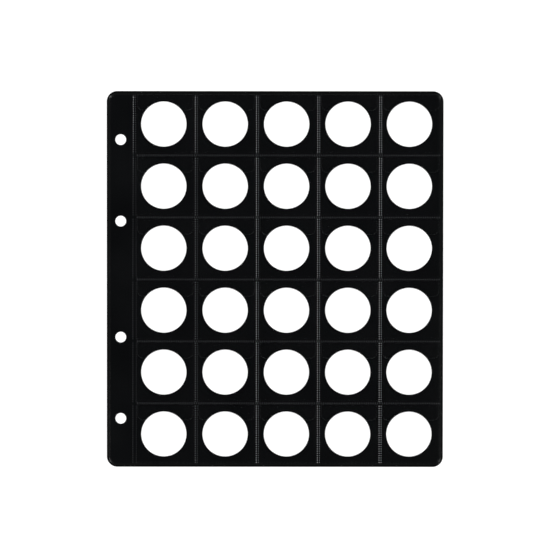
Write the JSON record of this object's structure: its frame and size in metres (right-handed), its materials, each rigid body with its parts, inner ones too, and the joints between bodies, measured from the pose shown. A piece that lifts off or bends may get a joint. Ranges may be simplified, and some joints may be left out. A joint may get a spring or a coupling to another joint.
{
  "type": "coin album page",
  "caption": "Flat soft-plastic coin page with round windows, ring holes along one margin and a clear closing flap over each pocket.",
  "frame": {"origin": "middle of the page's back face, on the surface that the page lies on", "axes": "+X from the ring holes to the free edge, +Y to the top of the page where the pocket mouths are, +Z out of the front"},
  "size_m": [0.193, 0.217, 0.001],
  "materials": {
    "black_pvc": "gloss",
    "clear_film": "gloss",
    "flap_film": "gloss"
  },
  "bodies": {
    "page": {"window_sheet": "black_pvc", "back_film": "clear_film", "pocket_strip_1": "clear_film", "pocket_strip_2": "clear_film", "pocket_strip_3": "clear_film", "pocket_strip_4": "clear_film", "pocket_strip_5": "clear_film", "pocket_strip_6": "clear_film", "flap_strip_1": "clear_film", "flap_strip_2": "clear_film", "flap_strip_3": "clear_film", "flap_strip_4": "clear_film", "flap_strip_5": "clear_film", "flap_strip_6": "clear_film"},
    "flap_1_1": {"flap_1_1": "flap_film"},
    "flap_1_2": {"flap_1_2": "flap_film"},
    "flap_1_3": {"flap_1_3": "flap_film"},
    "flap_1_4": {"flap_1_4": "flap_film"},
    "flap_1_5": {"flap_1_5": "flap_film"},
    "flap_2_1": {"flap_2_1": "flap_film"},
    "flap_2_2": {"flap_2_2": "flap_film"},
    "flap_2_3": {"flap_2_3": "flap_film"},
    "flap_2_4": {"flap_2_4": "flap_film"},
    "flap_2_5": {"flap_2_5": "flap_film"},
    "flap_3_1": {"flap_3_1": "flap_film"},
    "flap_3_2": {"flap_3_2": "flap_film"},
    "flap_3_3": {"flap_3_3": "flap_film"},
    "flap_3_4": {"flap_3_4": "flap_film"},
    "flap_3_5": {"flap_3_5": "flap_film"},
    "flap_4_1": {"flap_4_1": "flap_film"},
    "flap_4_2": {"flap_4_2": "flap_film"},
    "flap_4_3": {"flap_4_3": "flap_film"},
    "flap_4_4": {"flap_4_4": "flap_film"},
    "flap_4_5": {"flap_4_5": "flap_film"},
    "flap_5_1": {"flap_5_1": "flap_film"},
    "flap_5_2": {"flap_5_2": "flap_film"},
    "flap_5_3": {"flap_5_3": "flap_film"},
    "flap_5_4": {"flap_5_4": "flap_film"},
    "flap_5_5": {"flap_5_5": "flap_film"},
    "flap_6_1": {"flap_6_1": "flap_film"},
    "flap_6_2": {"flap_6_2": "flap_film"},
    "flap_6_3": {"flap_6_3": "flap_film"},
    "flap_6_4": {"flap_6_4": "flap_film"},
    "flap_6_5": {"flap_6_5": "flap_film"}
  },
  "joints": [
    {"name": "flap_1_1_fold", "type": "hinge", "parent": "page", "child": "flap_1_1", "pos_m": [-0.063, 0.1065, 0.001], "axis": [-1, 0, 0], "range_deg": [0, 150]},
    {"name": "flap_1_2_fold", "type": "hinge", "parent": "page", "child": "flap_1_2", "pos_m": [-0.0278, 0.1065, 0.001], "axis": [-1, 0, 0], "range_deg": [0, 150]},
    {"name": "flap_1_3_fold", "type": "hinge", "parent": "page", "child": "flap_1_3", "pos_m": [0.0074, 0.1065, 0.001], "axis": [-1, 0, 0], "range_deg": [0, 150]},
    {"name": "flap_1_4_fold", "type": "hinge", "parent": "page", "child": "flap_1_4", "pos_m": [0.0426, 0.1065, 0.001], "axis": [-1, 0, 0], "range_deg": [0, 150]},
    {"name": "flap_1_5_fold", "type": "hinge", "parent": "page", "child": "flap_1_5", "pos_m": [0.07795, 0.1065, 0.001], "axis": [-1, 0, 0], "range_deg": [0, 150]},
    {"name": "flap_2_1_fold", "type": "hinge", "parent": "page", "child": "flap_2_1", "pos_m": [-0.063, 0.0708, 0.001], "axis": [-1, 0, 0], "range_deg": [0, 150]},
    {"name": "flap_2_2_fold", "type": "hinge", "parent": "page", "child": "flap_2_2", "pos_m": [-0.0278, 0.0708, 0.001], "axis": [-1, 0, 0], "range_deg": [0, 150]},
    {"name": "flap_2_3_fold", "type": "hinge", "parent": "page", "child": "flap_2_3", "pos_m": [0.0074, 0.0708, 0.001], "axis": [-1, 0, 0], "range_deg": [0, 150]},
    {"name": "flap_2_4_fold", "type": "hinge", "parent": "page", "child": "flap_2_4", "pos_m": [0.0426, 0.0708, 0.001], "axis": [-1, 0, 0], "range_deg": [0, 150]},
    {"name": "flap_2_5_fold", "type": "hinge", "parent": "page", "child": "flap_2_5", "pos_m": [0.07795, 0.0708, 0.001], "axis": [-1, 0, 0], "range_deg": [0, 150]},
    {"name": "flap_3_1_fold", "type": "hinge", "parent": "page", "child": "flap_3_1", "pos_m": [-0.063, 0.035, 0.001], "axis": [-1, 0, 0], "range_deg": [0, 150]},
    {"name": "flap_3_2_fold", "type": "hinge", "parent": "page", "child": "flap_3_2", "pos_m": [-0.0278, 0.035, 0.001], "axis": [-1, 0, 0], "range_deg": [0, 150]},
    {"name": "flap_3_3_fold", "type": "hinge", "parent": "page", "child": "flap_3_3", "pos_m": [0.0074, 0.035, 0.001], "axis": [-1, 0, 0], "range_deg": [0, 150]},
    {"name": "flap_3_4_fold", "type": "hinge", "parent": "page", "child": "flap_3_4", "pos_m": [0.0426, 0.035, 0.001], "axis": [-1, 0, 0], "range_deg": [0, 150]},
    {"name": "flap_3_5_fold", "type": "hinge", "parent": "page", "child": "flap_3_5", "pos_m": [0.07795, 0.035, 0.001], "axis": [-1, 0, 0], "range_deg": [0, 150]},
    {"name": "flap_4_1_fold", "type": "hinge", "parent": "page", "child": "flap_4_1", "pos_m": [-0.063, -0.0008, 0.001], "axis": [-1, 0, 0], "range_deg": [0, 150]},
    {"name": "flap_4_2_fold", "type": "hinge", "parent": "page", "child": "flap_4_2", "pos_m": [-0.0278, -0.0008, 0.001], "axis": [-1, 0, 0], "range_deg": [0, 150]},
    {"name": "flap_4_3_fold", "type": "hinge", "parent": "page", "child": "flap_4_3", "pos_m": [0.0074, -0.0008, 0.001], "axis": [-1, 0, 0], "range_deg": [0, 150]},
    {"name": "flap_4_4_fold", "type": "hinge", "parent": "page", "child": "flap_4_4", "pos_m": [0.0426, -0.0008, 0.001], "axis": [-1, 0, 0], "range_deg": [0, 150]},
    {"name": "flap_4_5_fold", "type": "hinge", "parent": "page", "child": "flap_4_5", "pos_m": [0.07795, -0.0008, 0.001], "axis": [-1, 0, 0], "range_deg": [0, 150]},
    {"name": "flap_5_1_fold", "type": "hinge", "parent": "page", "child": "flap_5_1", "pos_m": [-0.063, -0.0366, 0.001], "axis": [-1, 0, 0], "range_deg": [0, 150]},
    {"name": "flap_5_2_fold", "type": "hinge", "parent": "page", "child": "flap_5_2", "pos_m": [-0.0278, -0.0366, 0.001], "axis": [-1, 0, 0], "range_deg": [0, 150]},
    {"name": "flap_5_3_fold", "type": "hinge", "parent": "page", "child": "flap_5_3", "pos_m": [0.0074, -0.0366, 0.001], "axis": [-1, 0, 0], "range_deg": [0, 150]},
    {"name": "flap_5_4_fold", "type": "hinge", "parent": "page", "child": "flap_5_4", "pos_m": [0.0426, -0.0366, 0.001], "axis": [-1, 0, 0], "range_deg": [0, 150]},
    {"name": "flap_5_5_fold", "type": "hinge", "parent": "page", "child": "flap_5_5", "pos_m": [0.07795, -0.0366, 0.001], "axis": [-1, 0, 0], "range_deg": [0, 150]},
    {"name": "flap_6_1_fold", "type": "hinge", "parent": "page", "child": "flap_6_1", "pos_m": [-0.063, -0.0724, 0.001], "axis": [-1, 0, 0], "range_deg": [0, 150]},
    {"name": "flap_6_2_fold", "type": "hinge", "parent": "page", "child": "flap_6_2", "pos_m": [-0.0278, -0.0724, 0.001], "axis": [-1, 0, 0], "range_deg": [0, 150]},
    {"name": "flap_6_3_fold", "type": "hinge", "parent": "page", "child": "flap_6_3", "pos_m": [0.0074, -0.0724, 0.001], "axis": [-1, 0, 0], "range_deg": [0, 150]},
    {"name": "flap_6_4_fold", "type": "hinge", "parent": "page", "child": "flap_6_4", "pos_m": [0.0426, -0.0724, 0.001], "axis": [-1, 0, 0], "range_deg": [0, 150]},
    {"name": "flap_6_5_fold", "type": "hinge", "parent": "page", "child": "flap_6_5", "pos_m": [0.07795, -0.0724, 0.001], "axis": [-1, 0, 0], "range_deg": [0, 150]}
  ]
}
